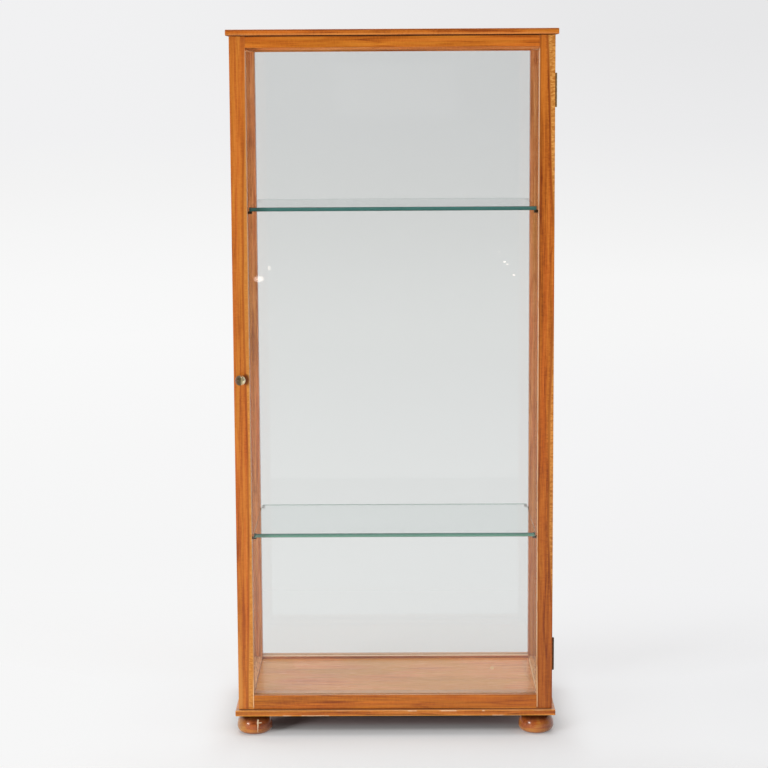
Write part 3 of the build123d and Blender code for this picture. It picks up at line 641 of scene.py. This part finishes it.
# Hinges
# Two brass butt hinges let into the door and the right front post, each with five knuckles, a
# loose pin and six countersunk screws. The brass has gone brown, the lower one's most.
metal("upper_hinge_brass", rgb(158, 130, 92), rgb(214, 182, 132), 0.32, 0.5,
      ["hinge_upper_post_leaf", "hinge_upper_door_leaf", "hinge_upper_pin",
       "hinge_post_screws", "hinge_door_screws"])
metal("lower_hinge_brass", rgb(64, 50, 38), rgb(104, 82, 60), 0.4, 0.55,
      ["hinge_lower_post_leaf", "hinge_lower_door_leaf", "hinge_lower_pin"])


# Knob
# A small turned brass knob on a rose, held by a screw from inside the door. Its right rim carries a
# painted highlight. The rest is tarnished, and painted shading runs across it from brown at the left
# through dark olive to pale olive at the right.
finish, place = new_finish("knob_brass")
low, high = corners("door_knob")
x, z = axes(place, "XZ")
across = (x - (low.x + high.x) / 2) / ((high.x - low.x) / 2)
up = (z - (low.z + high.z) / 2) / ((high.z - low.z) / 2)
mottled = place.noise(0.3, 3.0, 0.6, 2.0)
# A painted highlight along the right rim.
brightened = ((across + 0.5).squared() + up.squared() * 0.9 + mottled * 0.2).step(1.02, 1.32)
# Tarnish with painted shading across it, darker at the left and paler to the right.
olive = (across + mottled * 0.3).tones(
    (0.0, rgb(80, 68, 42)), (0.3, rgb(106, 94, 60)), (0.5, rgb(184, 168, 122)))
tarnish_and_shading = (across - mottled * 0.2).step(-0.9, -0.5).mix(rgb(122, 78, 46), olive)
lay(place, {"Base_Color": brightened.mix(tarnish_and_shading, rgb(255, 240, 200)), "Roughness": 0.46 - brightened * 0.3,
            "Metallic": brightened * 0.75 + 0.2}, bump=mottled, depth=0.05)
dress(finish, "door_knob")


# Studio floor
# A round sheet of pale matt paper that keeps the cabinet's shadow. Beyond the shadow it glows as
# pale as it looks beside the cabinet, and in gloss its front half is darker, like the room there.
floor_radius, ring_sides = 5.4, 96
half_width, half_depth = 250.0, 135.0
black = (0.0, 0.0, 0.0, 1.0)


def ring(name, profile):
    """A surface turned about the cabinet's middle, from (radius, height) pairs in metres."""
    mesh = bpy.data.meshes.new(name)
    work = bmesh.new()
    turns = [Matrix.Rotation(math.tau * step / ring_sides, 3, "Z") for step in range(ring_sides)]
    rows = [[work.verts.new(turn @ Vector((radius, 0.0, height))) for turn in turns]
            for radius, height in profile]
    for lower, upper in zip(rows, rows[1:]):
        for step in range(ring_sides):
            after = (step + 1) % ring_sides
            work.faces.new((lower[step], lower[after], upper[after], upper[step]))
    work.faces.new(rows[0][::-1])
    for face in work.faces:
        face.smooth = True
    work.to_mesh(mesh)
    work.free()
    piece = bpy.data.objects.new(name, mesh)
    bpy.context.scene.collection.objects.link(piece)
    return piece


def grey(level):
    """A neutral colour on the same scale as rgb."""
    return rgb(level, level, level)


def mirrored_in(ray):
    """1 for what a pane or varnish mirrors, and 0 for what the eye sees by itself or through a pane."""
    return Wire(ray["Is Glossy Ray"]) * Wire(ray["Glossy Depth"]).least(1.0)


floor = ring("studio_floor", [(radius, 0.0) for radius in (0.1, 0.4, 1.0, 2.0, 4.0, floor_radius)])
paper, place = new_finish("studio_paper")
x, y = axes(place, "XY")
# How far outside the cabinet's footprint a place lies. In front that counts half.
beyond = (abs(x) - half_width).most(y - half_depth).most((y + half_depth) * -0.5)
beside = (abs(x) - half_width).step(-10.0, 70.0) * (1 - (abs(y) - 150.0).step(0.0, 250.0))
lit_front = y.between(-142.0, -114.0, 24.0) * (1 - abs(x).step(200.0, 300.0))
# How much of the paper's paleness is its own glow, from 0 in the shadow to 1 far away.
away = beyond.step(-30.0, 60.0) * 0.36 + beside * 0.5 + lit_front * 0.2 + beyond.step(40.0, 700.0) * 0.64
depth = (y + 1000.0) / 6400.0
left_pale = depth.tones(
    (0.15, grey(247)), (0.34, grey(246)), (0.47, grey(247)), (0.69, grey(248)), (0.96, grey(249)))
right_pale = depth.tones((0.0, grey(244)), (0.17, rgb(237, 237, 238)), (0.25, rgb(241, 241, 242)),
                         (0.47, rgb(243, 243, 244)), (0.69, rgb(244, 244, 245)), (0.96, grey(246)))
far = y.step(300.0, 2600.0)
to_right = x.step(-700.0, 800.0) * (1 - far) + x.step(-1300.0, 1400.0) * far
pale = to_right.mix(left_pale, right_pale)
dim_front = (1 - y.step(-5400.0, -300.0)) * mirrored_in(light_path(place)) * 0.78
pale = dim_front.mix(pale, grey(120))
# A painted warm tint in the shadow under the cabinet.
below = y.between(-60.0, 100.0, 30.0) * (1 - abs(x).step(200.0, 250.0))
pale = below.mix(pale, rgb(214, 195, 195))
lay(place, {"Base_Color": away.mix(pale, black), "Emission_Color": away.mix(black, pale),
            "Roughness": place.noise(0.02, 2.0, 0.5) * 0.1 + 0.6},
    Specular_IOR_Level=0.0, Emission_Strength=1.0)
paper.cycles.emission_sampling = "NONE"
floor.data.materials.append(paper)


# Studio tent
# A round tent of pale cloth closed over the floor, which lights the cabinet evenly. In gloss its
# front half is dark, like the room behind the camera, with three small lights in it.
tent = ring("studio_tent", [(0.1, 5.9), (3.6, 5.4), (5.0, 4.4), (floor_radius, 3.2), (floor_radius, 0.0)])
cloth, place = new_finish("studio_cloth")
x, y, z = axes(place)
height = z / 1300.0
left_pale = height.tones(
    (0.0, grey(249)), (0.16, grey(248)), (0.31, grey(246)), (0.47, grey(243)), (0.62, rgb(241, 241, 242)))
right_pale = height.tones((0.0, grey(246)), (0.16, grey(246)), (0.31, grey(242)),
                          (0.62, rgb(235, 235, 236)), (0.9, rgb(231, 231, 232)))
pale = x.step(-1500.0, 1500.0).mix(left_pale, right_pale)
ray = light_path(place)
mirrored = mirrored_in(ray)
# The room is a little less dark where the top of the panes mirrors it.
patch = x.between(-230.0, 230.0, 30.0) * z.between(885.0, 1060.0, 40.0) * 0.12
dark = mirrored * (1 - y.step(-1500.0, 500.0)) * (z.step(-600.0, 600.0) * 0.7 + (0.27 - patch))
room = dark.mix(pale, (0.01, 0.01, 0.01, 1.0))
room_lights = None
for at_x, at_z, radius in ((-541.0, 234.0, 16.0), (436.0, 297.0, 4.5), (472.0, 244.0, 5.0)):
    spot = 1 - ((x - at_x).squared() * 0.4 + (z - at_z).squared()).step(0.0, radius * radius)
    room_lights = spot if room_lights is None else room_lights + spot
in_front = 1 - y.step(-4000.0, -3000.0)
lit_room = (room_lights * in_front * mirrored).mix(room, (6.0, 5.0, 4.4, 1.0))
# Light that bounces meets an even grey here, so that the tent's tones don't tint the cabinet.
seen = mirrored.most(Wire(ray["Is Camera Ray"])).most(Wire(ray["Is Transmission Ray"]))
glow = place.make("ShaderNodeEmission", inputs={
    "Color": seen.mix((0.45, 0.45, 0.45, 1.0), lit_room), "Strength": 1.0,
})
place.make("ShaderNodeOutputMaterial", inputs={"Surface": glow})
cloth.cycles.emission_sampling = "NONE"
tent.data.materials.append(cloth)


# Lamps
# Soft lamps stand low at the left and the right, and one hangs overhead. A narrow one on the left
# stand only adds the highlights in the varnish of the feet.
def lamp(name, at, towards, width, height, power, glossy=True, diffuse=True):
    """A rectangular lamp that shines at a place. Without glossy it makes no highlights, without
    diffuse it makes nothing else, and it can't be seen through the panes."""
    light = bpy.data.lights.new(name, "AREA")
    light.shape = "RECTANGLE"
    light.size = width
    light.size_y = height
    light.energy = power
    piece = bpy.data.objects.new(name, light)
    piece.location = at
    piece.rotation_euler = (Vector(towards) - Vector(at)).to_track_quat("-Z", "Y").to_euler()
    piece.visible_glossy = glossy
    piece.visible_diffuse = diffuse
    piece.visible_transmission = False
    bpy.context.scene.collection.objects.link(piece)


left_stand, right_stand, above = (-2.6, -2.6, 0.85), (2.8, -1.3, 1.0), (-0.2, 0.35, 3.4)
middle, foot_of_cabinet = (0.0, 0.0, 0.55), (0.0, 0.0, 0.0)
lamp("left_softbox", left_stand, middle, 1.1, 0.8, 63.0, glossy=False)
lamp("left_highlight", left_stand, middle, 0.6, 0.14, 30.0, diffuse=False)
lamp("right_softbox", right_stand, middle, 0.8, 1.6, 12.0, glossy=False)
lamp("overhead_softbox", above, foot_of_cabinet, 2.6, 2.6, 60.0)


# Camera
# It stands in front, a little below the height of the cabinet's top, and looks slightly down. Its
# lens, place and direction come from the edges of the door, the rear posts and the shelves.
focal_length, sensor_width = 100.908, 36.0
place_of_camera = (0.004705, -3.393490, 1.017520)
right = Vector((0.9999712, 0.005223, -0.0054989))
up = Vector((0.004712, 0.140261, 0.9901034))
ahead = Vector((-0.0059426, 0.9901008, -0.1402324))
lens = bpy.data.cameras.new("studio_camera")
lens.lens = focal_length
lens.sensor_width = sensor_width
camera = bpy.data.objects.new("studio_camera", lens)
turn = Matrix((right, up, -ahead)).transposed().to_4x4()
camera.matrix_world = Matrix.Translation(place_of_camera) @ turn
bpy.context.scene.collection.objects.link(camera)
bpy.context.scene.camera = camera
bpy.context.scene.view_settings.view_transform = "Standard"
